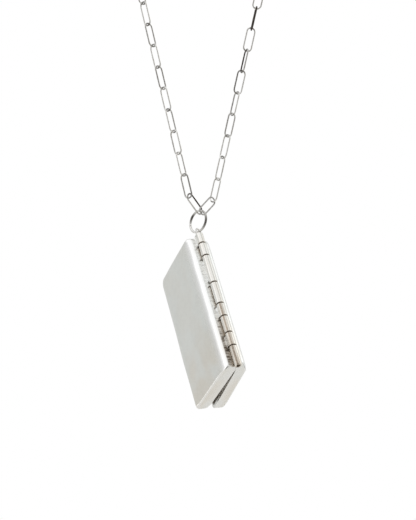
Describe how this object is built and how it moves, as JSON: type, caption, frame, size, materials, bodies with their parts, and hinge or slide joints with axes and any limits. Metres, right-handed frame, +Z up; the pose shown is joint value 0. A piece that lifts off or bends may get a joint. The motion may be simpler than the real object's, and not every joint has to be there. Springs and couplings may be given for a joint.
{
  "type": "hinged wallet pendant on a paperclip chain",
  "caption": "Small hollow metal wallet-shaped pendant in two hinged halves, ajar, hung by a jump ring from a closed loop of long narrow links.",
  "frame": {"origin": "point at the nape of the neck that the chain hangs from, the middle of the clasp ring", "axes": "+Z up, -Y to the front of the wearer, +X to the right of someone who faces the pendant"},
  "size_m": [0.1016, 0.0823, 0.2507],
  "materials": {
    "chain_silver": "polished silver wire",
    "ring_silver": "polished silver wire",
    "hinge_silver": "polished silver pin",
    "case_silver": "polished silver with fine brushing"
  },
  "bodies": {
    "chain": {"chain_right": "chain_silver", "chain_left": "chain_silver", "clasp": "chain_silver"},
    "pendant": {"jump_ring": "ring_silver", "hinge_pin": "hinge_silver", "front_cover": "case_silver"},
    "back_half": {"back_cover": "case_silver"}
  },
  "joints": [
    {"name": "pendant_swing", "type": "hinge", "parent": "chain", "child": "pendant", "pos_m": [0, -0.0638, -0.20812], "axis": [0.682, -0.7314, 0], "range_deg": [-60, 60]},
    {"name": "cover_hinge", "type": "hinge", "parent": "pendant", "child": "back_half", "pos_m": [-0.00045, -0.06462, -0.21329], "axis": [0.24, -0.4318, -0.8695], "range_deg": [-4, 170]}
  ]
}
